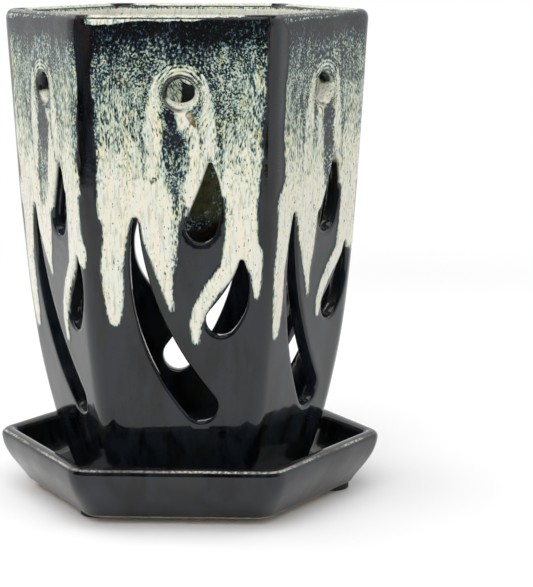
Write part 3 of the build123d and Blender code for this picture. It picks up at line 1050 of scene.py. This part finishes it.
# %% Helpers for node networks
class Network:
    """A node tree in the making. A method takes plain values or the outputs of other nodes."""

    def __init__(self, tree):
        self.tree = tree

    def feed(self, sockets, values):
        """Wire or set sockets, by name or by number. A colour is given as three numbers."""
        for key, value in values.items():
            if isinstance(value, bpy.types.NodeSocket):
                self.tree.links.new(value, sockets[key])
            else:
                sockets[key].default_value = (*value, 1.0) if sockets[key].type == "RGBA" else value

    def add(self, kind, inputs=None, **settings):
        """Add a node, set its options and feed its inputs."""
        node = self.tree.nodes.new("ShaderNode" + kind)
        for key, value in settings.items():
            setattr(node, key, value)
        self.feed(node.inputs, inputs or {})
        return node

    def calculate(self, operation, *values):
        """Result of one sum."""
        return self.add("Math", dict(enumerate(values)), operation=operation).outputs[0]

    def plus(self, first, second):
        """Sum of two values."""
        return self.calculate("ADD", first, second)

    def times(self, product, *factors):
        """Product of all the values."""
        for factor in factors:
            product = self.calculate("MULTIPLY", product, factor)
        return product

    def scaled(self, value, factor, shift):
        """The value times a factor, plus a shift."""
        return self.calculate("MULTIPLY_ADD", value, factor, shift)

    def ramp(self, value, low, high, to_low=0.0, to_high=1.0):
        """An S curve from to_low, where the value is at low, to to_high, where it is at high."""
        span = {"Value": value, "From Min": low, "From Max": high, "To Min": to_low,
                "To Max": to_high}
        return self.add("MapRange", span, interpolation_type="SMOOTHSTEP").outputs["Result"]

    def band(self, height, top, depths):
        """1 between the middle two of four falling depths below the top, and 0 past the outer two."""
        low, low_full, high_full, high = (top - depth for depth in depths)
        return self.times(self.ramp(height, low, low_full), self.ramp(height, high, high_full))

    def mix(self, share, first, second, blend="MIX"):
        """Colour between two colours by a share."""
        inputs = {"Factor": share, 6: first, 7: second}
        return self.add("Mix", inputs, data_type="RGBA", blend_type=blend).outputs[2]

    def colour_row(self, value, stops):
        """Colour at a value in a row of stops, each a position and a colour."""
        node = self.add("ValToRGB", {"Fac": value})
        row = node.color_ramp.elements
        for number, (position, colour) in enumerate(stops):
            stop = row[number] if number < 2 else row.new(position)
            stop.position, stop.color = position, (*colour, 1.0)
        return node.outputs["Color"]

    def noise(self, place, scale, detail=2.0, roughness=0.5):
        """Value of a noise at a place in millimetres. Scale is in bumps for each millimetre, one
        number or one for each axis."""
        if isinstance(scale, tuple):
            place = self.add("Mapping", {"Vector": place, "Scale": scale}).outputs[0]
            scale = 1.0
        inputs = {"Vector": place, "Scale": scale, "Detail": detail, "Roughness": roughness}
        return self.add("TexNoise", inputs).outputs["Fac"]

    def noises(self, place, table):
        """All the noises of a table at one place, by name."""
        return {name: self.noise(place, *row) for name, row in table.items()}

    def point_value(self, name, kind="Fac"):
        """The piece's own value of that name at each point."""
        return self.add("Attribute", attribute_name=name).outputs[kind]

    def place_in_mm(self):
        """Place on the piece in millimetres, from its object coordinates."""
        place = self.add("TexCoord").outputs["Object"]
        return self.add("VectorMath", {0: place, "Scale": 1 / MM}, operation="SCALE").outputs[0]

    def height_of(self, place):
        """Height part of a place."""
        return self.add("SeparateXYZ", {0: place}).outputs["Z"]

    def use(self, group, **inputs):
        """Place a node group, feed it, and give back its outputs."""
        return self.add("Group", inputs, node_tree=group).outputs


def new_group(name, inputs, outputs):
    """Empty node group with named inputs and outputs, each given as a name and a kind."""
    group = bpy.data.node_groups.new(name, "ShaderNodeTree")
    for direction, sockets in (("INPUT", inputs), ("OUTPUT", outputs)):
        for socket, kind in sockets.items():
            kind = "NodeSocket" + kind
            group.interface.new_socket(name=socket, in_out=direction, socket_type=kind)
    given = group.nodes.new("NodeGroupInput").outputs
    made = group.nodes.new("NodeGroupOutput").inputs
    return group, Network(group), given, made


def new_finish(name):
    """Material with an empty network and a Principled shader wired to its output."""
    material = bpy.data.materials.new(name)
    material.use_nodes = True
    material.node_tree.nodes.clear()
    net = Network(material.node_tree)
    shader = net.add("BsdfPrincipled")
    net.add("OutputMaterial", {"Surface": shader.outputs[0]})
    return material, net, shader


# %% [markdown]
# ## Black glaze
#
# The black glaze on both castings is a smooth glass over stoneware: nearly black in its body, a
# little brown where it breaks thin over an edge, and very glossy. Its surface has the faint
# ripple of an orange's peel, which shows only in reflections, and a few pinholes. As pot and
# saucer share it, it is a node group. Each row of the table is one noise: its scale, its detail
# and its roughness.

# %% Black glaze
BLACK = (0.0010, 0.0013, 0.0020)
# Painted sheen: olive and blue tints in the colour stand in for hazy reflections on the glaze.
BLUE_SHEEN = (0.0095, 0.0130, 0.0180)
THIN_BROWN = (0.030, 0.013, 0.007)
OLIVE_SHEEN = (0.0120, 0.0125, 0.0090)
BLACK_NOISES = {
    "sheen_cloud": ((0.07, 0.07, 0.04), 3.0, 0.55),
    "sheen": ((0.13, 0.13, 0.025), 4.0, 0.6),
    "broken": (0.55, 3.0, 0.6),
    "haze": (0.09, 4.0, 0.6),
    "ripple": (0.09, 1.0, 0.4),
    "peel": (0.38, 1.0, 0.4),
    "pits": (1.9, 0.0),
}
RIPPLE_MM, PEEL_MM, PIT_MM = 0.22, 0.022, 0.03
GLAZE_ROUGHNESS = (0.05, 0.13)


def black_glaze_group():
    """Colour, roughness and height of the black glaze from a place and a thinness. Thin glaze is
    browner. Slow noises paint sheen into the colour: olive clouds and upright blue streaks that
    stand in for hazy reflections. Two more make the ripple."""
    group, net, given, made = new_group("black_glaze", {"Place": "Vector", "Thin": "Float"},
                                        {"Colour": "Color", "Roughness": "Float", "Height": "Float"})
    at = net.noises(given["Place"], BLACK_NOISES)
    # Painted sheen: faint olive clouds and upright blue streaks stand in for hazy reflections.
    black_with_sheen = net.mix(net.ramp(at["sheen_cloud"], 0.42, 0.7), BLACK, OLIVE_SHEEN)
    black_with_sheen = net.mix(net.ramp(at["sheen"], 0.38, 0.64), black_with_sheen, BLUE_SHEEN)
    thin = net.times(given["Thin"], net.ramp(at["broken"], 0.25, 0.65, 0.45, 1.0))
    waves = net.plus(net.times(at["ripple"], RIPPLE_MM), net.times(at["peel"], PEEL_MM))
    net.feed(made, {
        "Colour": net.mix(thin, black_with_sheen, THIN_BROWN),
        "Roughness": net.ramp(at["haze"], 0.35, 0.75, *GLAZE_ROUGHNESS),
        "Height": net.scaled(net.ramp(at["pits"], 0.74, 0.80), -PIT_MM, waves),
    })
    return group


black_glaze = black_glaze_group()

# %% [markdown]
# ## Cream glaze
#
# The cream is a white glaze that reacted with the black one under it. How it looks depends on how
# thick it lies, so one number, the body, runs through a row of colours: black brown, navy, teal,
# grey green, pale green and off-white. The body is the cover plus noises: round grains where it
# is thin, long dashes where it ran, soft clusters, and streaks down the side. Along the edge of a
# drip it falls off, which leaves a mottled navy fringe. Thin washes of warm, cool, ochre and green
# lie over that. A row of the second table is one S curve: where it starts and ends, and, unless it
# goes from 0 to 1, its first and last value.

# %% Cream glaze
CREAM_STOPS = ((0.10, (0.0030, 0.0032, 0.0040)), (0.24, (0.0045, 0.0125, 0.0250)),
               (0.38, (0.0200, 0.0440, 0.0650)), (0.50, (0.105, 0.165, 0.170)),
               (0.64, (0.345, 0.435, 0.370)), (0.80, (0.620, 0.650, 0.520)),
               (0.97, (0.765, 0.745, 0.665)))
WARM_WASH = (1.0, 0.93, 0.82)
COOL_WASH = (0.87, 0.94, 0.95)
OCHRE_WASH = (1.12, 1.0, 0.74)
STREAK_GREEN = (0.36, 0.39, 0.31)
DARK_SPECK = (0.030, 0.038, 0.030)
CREAM_NOISES = {
    "grain": ((1.25, 1.25, 1.05), 2.0, 0.55),
    "dash": ((1.55, 1.55, 0.50), 2.0, 0.55),
    "cluster": ((0.24, 0.24, 0.14),),
    "streak": ((0.50, 0.50, 0.035),),
    "ragged": ((0.9, 0.9, 0.3), 3.0, 0.6),
    "hue": ((0.60, 0.60, 0.05), 2.0, 0.55),
    "ochre": ((0.30, 0.30, 0.12), 3.0, 0.6),
    "green": ((0.95, 0.95, 0.10), 3.0, 0.6),
    "speck": ((1.3, 1.3, 0.6), 1.0),
}
CREAM_RAMPS = {
    "dashes_by_cover": (0.42, 0.68),
    "change_by_cover": (0.66, 1.0, 1.0, 0.80),
    "fraying_by_cover": (0.75, 1.1, 2.2, 0.35),
    "fringe_by_reach": (-0.2, 1.4, -0.8, 0.0),
    "mask_by_reach": (-0.35, 0.1),
    "height_by_reach": (-0.5, 1.4),
    "height_by_body": (0.2, 0.9),
    "ochre_by_body": (1.0, 0.75),
    "green_by_body": (0.62, 0.85),
    "hue": (0.34, 0.66),
    "ochre": (0.48, 0.66),
    "green": (0.50, 0.68, 0.0, 0.55),
    "speck": (0.68, 0.75),
}
TEXTURE_STRENGTH, CLUSTER_STRENGTH, STREAK_STRENGTH, ARC_STRENGTH = 2.2, 0.7, 0.5, 0.20
WASH_STRENGTH = 0.75
MOST_BODY = (0.72, 0.40)
ARC_SPACING = 1.5
EDGE_MM, GRAIN_MM = 0.10, 0.07


def cream_glaze_group():
    """Colour, mask and height of the cream from a flow place, the reach inside the drips, the
    cover, and the distance from the round hole, for the arcs over it."""
    inputs = {"Flow": "Vector", **dict.fromkeys(("Reach", "Cover", "Away", "Arcs"), "Float")}
    outputs = {"Colour": "Color", "Mask": "Float", "Height": "Float"}
    group, net, given, made = new_group("cream_glaze", inputs, outputs)

    def curve(name, value):
        """S curve of that name."""
        return net.ramp(value, *CREAM_RAMPS[name])

    cover = given["Cover"]
    at = net.noises(given["Flow"], CREAM_NOISES)
    dashed = curve("dashes_by_cover", cover)
    texture = net.plus(net.times(at["grain"], net.scaled(dashed, -1.0, 1.0)),
                       net.times(at["dash"], dashed))
    change = net.scaled(texture, TEXTURE_STRENGTH, -TEXTURE_STRENGTH / 2)
    for value, strength in ((at["cluster"], CLUSTER_STRENGTH), (at["streak"], STREAK_STRENGTH)):
        change = net.plus(change, net.scaled(value, strength, -strength / 2))
    body = net.scaled(change, curve("change_by_cover", cover), cover)
    body = net.calculate("MINIMUM", body, net.scaled(cover, *MOST_BODY))
    turn = net.calculate("COSINE", net.times(given["Away"], 2 * math.pi / ARC_SPACING))
    body = net.scaled(net.times(turn, given["Arcs"]), ARC_STRENGTH, body)
    ragged = net.plus(at["ragged"], -0.5)
    reach = net.scaled(ragged, curve("fraying_by_cover", cover), given["Reach"])
    body = net.plus(body, curve("fringe_by_reach", reach))
    colour = net.colour_row(body, CREAM_STOPS)
    wash = net.mix(curve("hue", at["hue"]), COOL_WASH, WARM_WASH)
    colour = net.mix(WASH_STRENGTH, colour, wash, "MULTIPLY")
    ochre = net.times(curve("ochre", at["ochre"]), curve("ochre_by_body", body))
    colour = net.mix(ochre, colour, OCHRE_WASH, "MULTIPLY")
    green = net.times(curve("green", at["green"]), curve("green_by_body", body))
    colour = net.mix(green, colour, STREAK_GREEN)
    mask = curve("mask_by_reach", reach)
    rise = net.times(curve("height_by_body", body), mask, GRAIN_MM)
    net.feed(made, {
        "Colour": net.mix(curve("speck", at["speck"]), colour, DARK_SPECK),
        "Mask": mask,
        "Height": net.scaled(curve("height_by_reach", reach), EDGE_MM, rise),
    })
    return group


cream_glaze = cream_glaze_group()

# %% [markdown]
# ## The finishes of the pieces
#
# The pot's finish lays the cream over the black glaze by its mask. The saucer's is the black glaze
# with a broken painted highlight along its rim. Both castings show bare clay at the very foot, and
# the pads are matt rubber.

# %% Finish of the pot and of the saucer
GLAZE_IOR = 1.49
CLAY = (0.40, 0.33, 0.255)
DARK_CLAY = (0.25, 0.19, 0.14)
# Colour of the painted highlight on the saucer's rim edge.
PAINTED_RIM_HIGHLIGHT = (0.56, 0.55, 0.52)
OLIVE_STAIN = (0.170, 0.120, 0.025)
DARK_GREEN = (0.050, 0.056, 0.030)
RIM_LINE_DEPTHS = (1.7, 1.4, 1.1, 0.9)
SAUCER_HIGHLIGHT_DEPTHS = (1.15, 0.95, 0.5, 0.35)
CLAY_HEIGHTS, CLAY_RAGGED, CLAY_RISE, CLAY_ROUGH = (0.7, 0.3), (0.8, -0.4), 0.1, 0.7
CLAY_NOISES = {"ragged": (0.7, 3.0, 0.6), "speck": (1.6, 3.0, 0.6)}
POT_NOISES = {"uneven": (0.22, 3.0, 0.6), "mottle": (0.30, 3.0, 0.6)}
SAUCER_NOISES = {"highlight_sparkle": (0.9, 2.0, 0.6), "breaks": (0.035,)}
CREAM_ROUGH = 0.16


def finish_glaze(net, shader, place, colour, rough, height, base):
    """Wire a glaze's colour, roughness and height into its shader. The lowest half millimetre is
    bare clay with a ragged edge, where the foot was wiped before firing."""
    at = net.noises(place, CLAY_NOISES)
    ragged = net.plus(net.height_of(place), net.scaled(at["ragged"], *CLAY_RAGGED))
    clay = net.ramp(ragged, *(base + height for height in CLAY_HEIGHTS))
    clay_colour = net.mix(net.ramp(at["speck"], 0.55, 0.75), CLAY, DARK_CLAY)
    height = net.scaled(net.times(clay, at["speck"]), CLAY_RISE, height)
    bump = net.add("Bump", {"Height": height, "Strength": 1.0, "Distance": MM})
    net.feed(shader.inputs, {
        "Base Color": net.mix(clay, colour, clay_colour),
        "Roughness": net.scaled(clay, CLAY_ROUGH, rough),
        "Normal": bump.outputs[0],
        "IOR": GLAZE_IOR,
    })


def pot_finish():
    """Black glaze with the cream over it. The cream is missing in the depth of the openings, and
    on the rim it starts again above a sharp line."""
    material, net, shader = new_finish("pot_glaze")
    place = net.place_in_mm()
    shift = net.point_value("shift", "Vector")
    flow = net.add("VectorMath", {0: place, 1: shift}, operation="ADD").outputs[0]
    names = ("drip", "cover", "bare", "away", "arcs", "lip", "lip_edge", "stain")
    drip, cover, bare, away, arcs, lip, lip_edge, stain = (net.point_value(name) for name in names)
    height = net.height_of(place)
    at = net.noises(place, POT_NOISES)
    uneven = net.scaled(at["uneven"], 2.2, -1.1)
    above = net.calculate("SUBTRACT", net.plus(height, uneven), lip_edge)
    line = net.scaled(net.band(height, rim_z, RIM_LINE_DEPTHS), -0.8, 1.0)
    cover = net.calculate("MAXIMUM", cover, net.times(lip, net.ramp(above, -0.2, 0.35), line))
    thin = net.times(net.ramp(drip, -3.9, -1.5, 0.0, 0.5), net.ramp(cover, 0.6, 0.1))
    black = net.use(black_glaze, Place=place, Thin=thin)
    cream = net.use(cream_glaze, Flow=flow, Reach=drip, Cover=cover, Away=away, Arcs=arcs)
    open_air = net.scaled(bare, -1.0, 1.0)
    mask = net.times(cream["Mask"], open_air)
    colour = net.mix(mask, black["Colour"], cream["Colour"])
    olive = net.mix(net.ramp(stain, 0.5, 1.0), DARK_GREEN, OLIVE_STAIN)
    mottle = net.ramp(at["mottle"], 0.38, 0.62, 0.45, 1.0)
    colour = net.mix(net.times(net.ramp(stain, 0.2, 0.6), mottle), colour, olive)
    rough = net.scaled(mask, CREAM_ROUGH, black["Roughness"])
    relief = net.plus(black["Height"], net.times(cream["Height"], open_air))
    finish_glaze(net, shader, place, colour, rough, relief, POT["base"])
    return material


def saucer_finish():
    """The black glaze alone, thin and brown in a narrow band on the rim, with a broken painted
    highlight on the rim's outer edge.
    """
    material, net, shader = new_finish("saucer_glaze")
    place = net.place_in_mm()
    height = net.height_of(place)
    top = SAUCER["base"] + SAUCER["height"]
    black = net.use(black_glaze, Place=place, Thin=net.ramp(height, top - 1.4, top - 0.1, 0.0, 0.3))
    at = net.noises(place, SAUCER_NOISES)
    # Painted highlight: a broken pale line on the outer edge of the rim stands in for the glint of the
    # lamps there.
    highlight_sparkle = net.times(net.ramp(at["highlight_sparkle"], 0.35, 0.65, 0.15, 1.0),
                        net.ramp(at["breaks"], 0.42, 0.58, 0.15, 0.85))
    rim_highlight = net.times(net.band(height, top, SAUCER_HIGHLIGHT_DEPTHS), highlight_sparkle, net.point_value("edge"))
    colour = net.mix(rim_highlight, black["Colour"], PAINTED_RIM_HIGHLIGHT)
    finish_glaze(net, shader, place, colour, black["Roughness"], black["Height"], SAUCER["base"])
    return material


def rubber_finish():
    """Matt black rubber with a fine grain and a little dust."""
    material, net, shader = new_finish("pad_rubber")
    place = net.place_in_mm()
    dust = net.ramp(net.noise(place, 0.8, 4.0, 0.65), 0.5, 0.8)
    bump = net.add("Bump", {"Height": net.noise(place, 4.0), "Strength": 0.5, "Distance": 0.05 * MM})
    net.feed(shader.inputs, {
        "Base Color": net.mix(dust, (0.016, 0.016, 0.016), (0.05, 0.048, 0.045)),
        "Roughness": 0.75,
        "Normal": bump.outputs[0],
    })
    return material


pot_piece.data.materials.append(pot_finish())
saucer_piece.data.materials.append(saucer_finish())
rubber = rubber_finish()
for name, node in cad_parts.items():
    if name.startswith("foot_pad"):
        node.data.materials.clear()
        node.data.materials.append(rubber)
print("finishes:", [material.name for material in bpy.data.materials])

# %% [markdown]
# ## Floor and light
#
# The pot stands on a wide white table in front of a white backdrop. Away from the pot, table and
# backdrop are plain white to the camera and to reflections, while the table round the pot is lit
# by the lamps and keeps the shadow. A large box of light hangs overhead and a little in front, two
# smaller ones light the table at the sides, and a fill hangs behind and above the camera. In
# front of the table the studio is dark, and the glossy front of the pot shows that, so a dark
# screen stands there that only reflections see.


# %% Floor, backdrop and the dark screen
TABLE_R = 9.0
TABLE_STEPS = 96
TABLE_LIT_TO, TABLE_WHITE_FROM = 0.40, 0.68


def stage_mesh(name, points, faces):
    """Stage piece from points in metres and faces."""
    mesh = bpy.data.meshes.new(name)
    mesh.from_pydata(points.reshape(-1, 3).tolist(), [], faces)
    piece = add_object(name, mesh)
    return piece


def white_to_camera(name, lit_near, white_from):
    """Matt white finish that turns plain white, at strength 1, for camera, glossy and transmission
    rays. It turns between two distances from the pot, in metres."""
    material, net, shader = new_finish(name)
    white = {"Base Color": (0.97, 0.97, 0.97), "Roughness": 0.7, "Specular IOR Level": 0.2}
    net.feed(shader.inputs, white)
    place = net.add("TexCoord").outputs["Object"]
    away = net.add("VectorMath", {0: place}, operation="LENGTH").outputs["Value"]
    path = net.add("LightPath").outputs
    seen = net.calculate("MAXIMUM", path["Is Glossy Ray"], path["Is Transmission Ray"])
    seen = net.calculate("MAXIMUM", path["Is Camera Ray"], seen)
    share = net.times(seen, net.ramp(away, lit_near, white_from))
    plain = net.add("Emission", {"Color": (1.0, 1.0, 1.0), "Strength": 1.0})
    both = net.add("MixShader", {0: share, 1: shader.outputs[0], 2: plain.outputs[0]})
    output = next(node for node in net.tree.nodes if node.type == "OUTPUT_MATERIAL")
    net.feed(output.inputs, {"Surface": both.outputs[0]})
    return material


def make_floor():
    """Round white table, so wide that its edge is out of the picture."""
    angles = np.linspace(0, 2 * math.pi, TABLE_STEPS, endpoint=False)
    points = TABLE_R * np.stack([np.cos(angles), np.sin(angles), np.zeros(TABLE_STEPS)], axis=-1)
    floor = stage_mesh("floor", points, [tuple(range(TABLE_STEPS))])
    floor.data.materials.append(white_to_camera("white_table", TABLE_LIT_TO, TABLE_WHITE_FROM))


def upright_arc(first, last, away, low, high, lean, steps=24):
    """Points and faces of an upright screen on an arc round the pot, leaning out with height."""
    angles = np.radians(np.linspace(first, last, steps))
    ring = np.stack([away * np.cos(angles), away * np.sin(angles)], axis=-1)
    points = np.concatenate([np.column_stack([ring, np.full(steps, low)]),
                             np.column_stack([ring * lean, np.full(steps, high)])])
    return points, grid_faces(2, steps).tolist()


def make_backdrop():
    """White upright backdrop behind and beside the pot, which lights nothing by itself."""
    backdrop = stage_mesh("backdrop", *upright_arc(-22, 202, 2.4, 0.0, 2.6, 1.0))
    backdrop.data.materials.append(white_to_camera("white_backdrop", 0.0, 0.1))
    backdrop.visible_diffuse = backdrop.visible_shadow = False


def make_screen():
    """Dark upright screen in front, seen by reflections only."""
    screen = stage_mesh("dark_screen", *upright_arc(-165, -35, 0.62, 0.002, 1.6, 1.2))
    material, net, shader = new_finish("dark_cloth")
    net.feed(shader.inputs, {"Base Color": (0.012, 0.012, 0.012), "Roughness": 0.9})
    screen.data.materials.append(material)
    screen.visible_camera = screen.visible_diffuse = screen.visible_shadow = False
    screen.visible_transmission = screen.visible_volume_scatter = False


# %% Lamps and world
WORLD_STRENGTH, WORLD_IN_GLOSS = 0.61, 0.2
LAMPS = {
    "overhead_box": dict(place=(-0.10, -0.44, 1.10), aim=(0, 0, 0.05), size=(1.3, 1.2), power=7.8),
    "left_box": dict(place=(-0.62, 0.30, 0.62), aim=(-0.50, 0.24, 0), size=(0.5, 0.5), power=1.1,
                     spread=100),
    "right_box": dict(place=(0.62, 0.30, 0.62), aim=(0.50, 0.24, 0), size=(0.5, 0.5), power=0.6,
                      spread=100),
    "front_fill": dict(place=(-0.25, -1.3, 0.9), aim=(0, 0, 0.05), size=(1.4, 0.7), power=4.2),
}


def soft_box(name, place, aim, size, power, spread=180):
    """Rectangular lamp at a place, aimed at a point, hidden from the camera."""
    lamp = bpy.data.lights.new(name, "AREA")
    lamp.shape = "RECTANGLE"
    (lamp.size, lamp.size_y), lamp.energy = size, power
    lamp.spread = math.radians(spread)
    box = add_object(name, lamp)
    box.location = place
    box.rotation_euler = (Vector(aim) - Vector(place)).to_track_quat("-Z", "Y").to_euler()
    box.visible_camera = False


def make_world():
    """White world. The camera sees it at strength 1, and reflections see it darker than it
    lights, as the ceiling of the studio."""
    world = bpy.data.worlds.new("studio")
    world.use_nodes = True
    net = Network(world.node_tree)
    path = net.add("LightPath").outputs
    level = net.scaled(path["Is Glossy Ray"], WORLD_IN_GLOSS - WORLD_STRENGTH, WORLD_STRENGTH)
    seen = net.calculate("MAXIMUM", path["Is Camera Ray"], path["Is Transmission Ray"])
    level = net.plus(level, net.times(seen, net.scaled(level, -1.0, 1.0)))
    net.feed(net.tree.nodes["Background"].inputs, {"Color": (1.0, 1.0, 1.0), "Strength": level})
    bpy.context.scene.world = world


make_floor()
make_backdrop()
make_screen()
make_world()
for name, lamp in LAMPS.items():
    soft_box(name, **lamp)
bpy.context.scene.view_settings.view_transform = "Standard"

# %% [markdown]
# ## Riding on the frame
#
# The glazed pot stands for the CAD pot and rides on its body, so it lifts out of the saucer when
# the joint moves. The glazed saucer does the same for its own node.

# %% Ride on the frame and hide the CAD nodes
for piece, node in ((pot_piece, "pot"), (saucer_piece, "saucer")):
    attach(piece, node)
    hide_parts(node)
